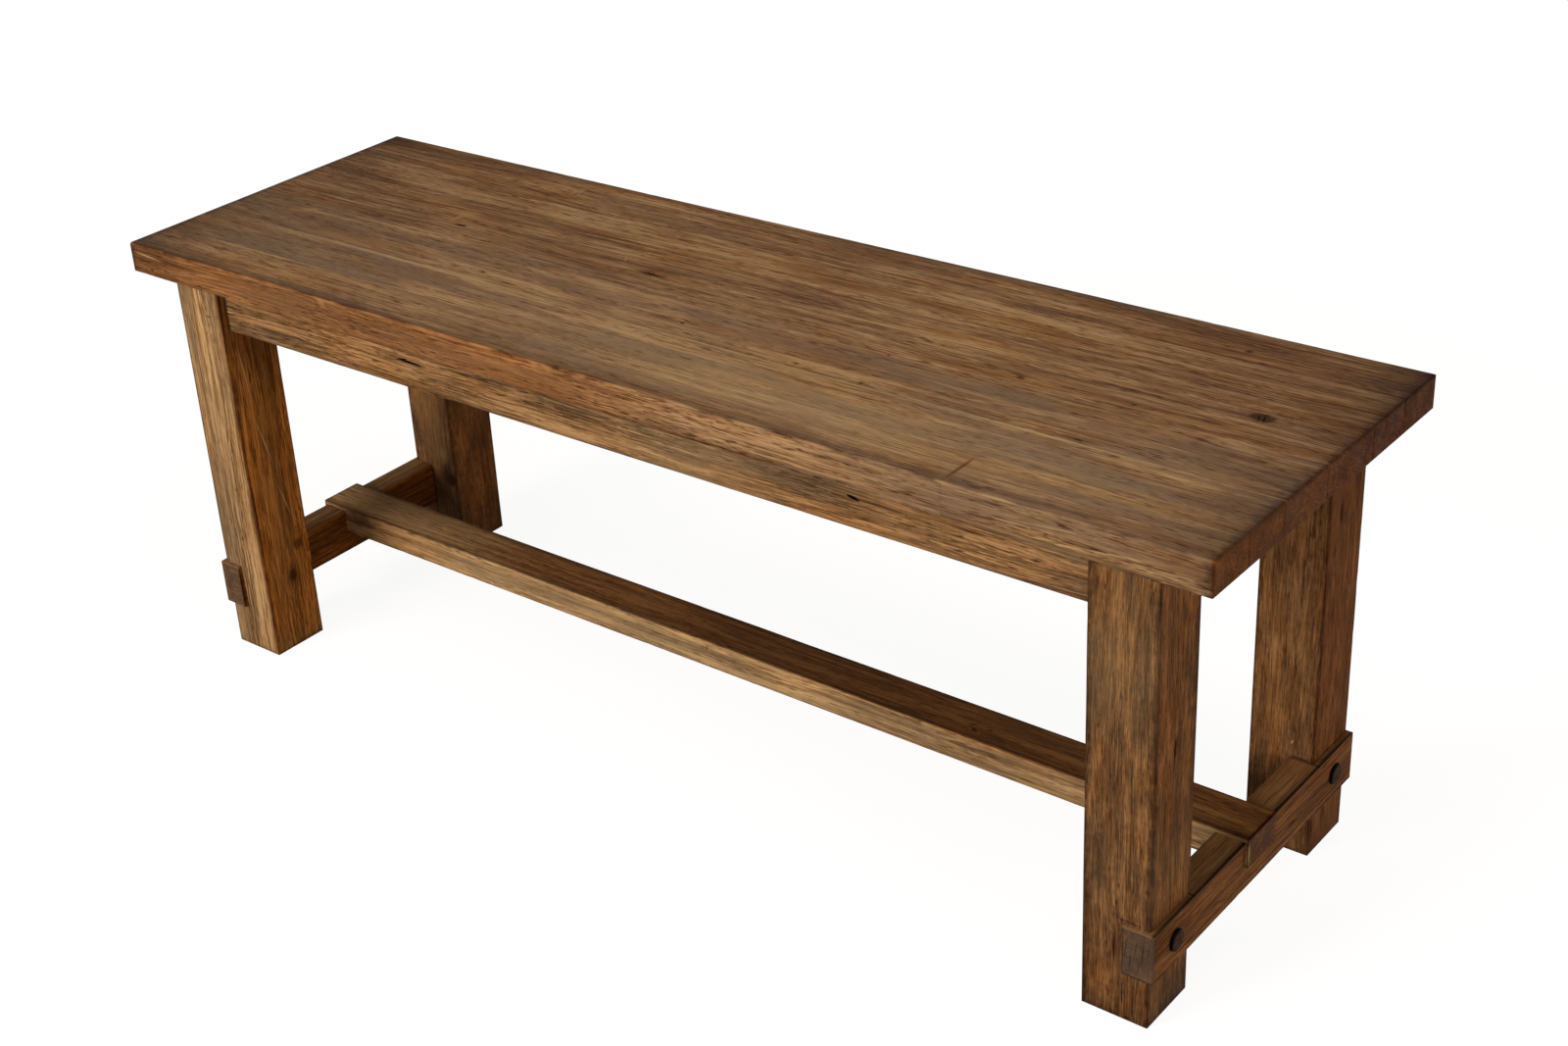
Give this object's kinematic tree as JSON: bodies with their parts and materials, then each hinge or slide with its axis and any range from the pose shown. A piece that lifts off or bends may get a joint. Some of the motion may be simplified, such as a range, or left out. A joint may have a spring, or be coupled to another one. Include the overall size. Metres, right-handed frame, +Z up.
{
  "type": "wooden bench",
  "caption": "Farmhouse bench: glued-up stave seat on square posts, apron box with corner blocks, and a lapped and bolted stretcher frame near the floor.",
  "frame": {"origin": "on the floor under the middle of the seat", "axes": "+X along the seat's length, -Y towards the front, +Z up"},
  "size_m": [1.219, 0.374, 0.457],
  "materials": {
    "seat_wood": "brown stained and waxed solid hardwood, satin, arrises rubbed",
    "post_wood": "brown stained solid hardwood, satin, dark burnished arrises",
    "rail_wood": "brown stained solid hardwood, satin",
    "block_wood": "sawn hardwood, thinly stained",
    "blackened_steel": "blackened steel, worn brown on the face",
    "zinc_steel": "bright zinc plate"
  },
  "bodies": {
    "root": {"back_apron": "rail_wood", "corner_block_back_left": "block_wood", "corner_block_back_right": "block_wood", "corner_block_front_left": "block_wood", "corner_block_front_right": "block_wood", "front_apron": "rail_wood", "hanger_bolt_back_left": "zinc_steel", "hanger_bolt_back_right": "zinc_steel", "hanger_bolt_front_left": "zinc_steel", "hanger_bolt_front_right": "zinc_steel", "hanger_nut_back_left": "zinc_steel", "hanger_nut_back_right": "zinc_steel", "hanger_nut_front_left": "zinc_steel", "hanger_nut_front_right": "zinc_steel", "hanger_washer_back_left": "zinc_steel", "hanger_washer_back_right": "zinc_steel", "hanger_washer_front_left": "zinc_steel", "hanger_washer_front_right": "zinc_steel", "lap_screw_left": "zinc_steel", "lap_screw_right": "zinc_steel", "left_end_apron": "rail_wood", "left_end_stretcher": "rail_wood", "long_stretcher": "rail_wood", "post_back_left": "post_wood", "post_back_right": "post_wood", "post_front_left": "post_wood", "post_front_right": "post_wood", "right_end_apron": "rail_wood", "right_end_stretcher": "rail_wood", "seat_screw_back_left_a": "zinc_steel", "seat_screw_back_left_b": "zinc_steel", "seat_screw_back_right_a": "zinc_steel", "seat_screw_back_right_b": "zinc_steel", "seat_screw_front_left_a": "zinc_steel", "seat_screw_front_left_b": "zinc_steel", "seat_screw_front_right_a": "zinc_steel", "seat_screw_front_right_b": "zinc_steel", "seat_stave_back_inner": "seat_wood", "seat_stave_back_left": "seat_wood", "seat_stave_back_right": "seat_wood", "seat_stave_front_inner": "seat_wood", "seat_stave_front_left": "seat_wood", "seat_stave_front_middle": "seat_wood", "seat_stave_front_right": "seat_wood", "seat_stave_middle_back_left": "seat_wood", "seat_stave_middle_back_right": "seat_wood", "seat_stave_middle_front": "seat_wood", "stretcher_bolt_back_left": "blackened_steel", "stretcher_bolt_back_right": "blackened_steel", "stretcher_bolt_front_left": "blackened_steel", "stretcher_bolt_front_right": "blackened_steel", "threaded_insert_back_left": "zinc_steel", "threaded_insert_back_right": "zinc_steel", "threaded_insert_front_left": "zinc_steel", "threaded_insert_front_right": "zinc_steel"}
  },
  "joints": []
}
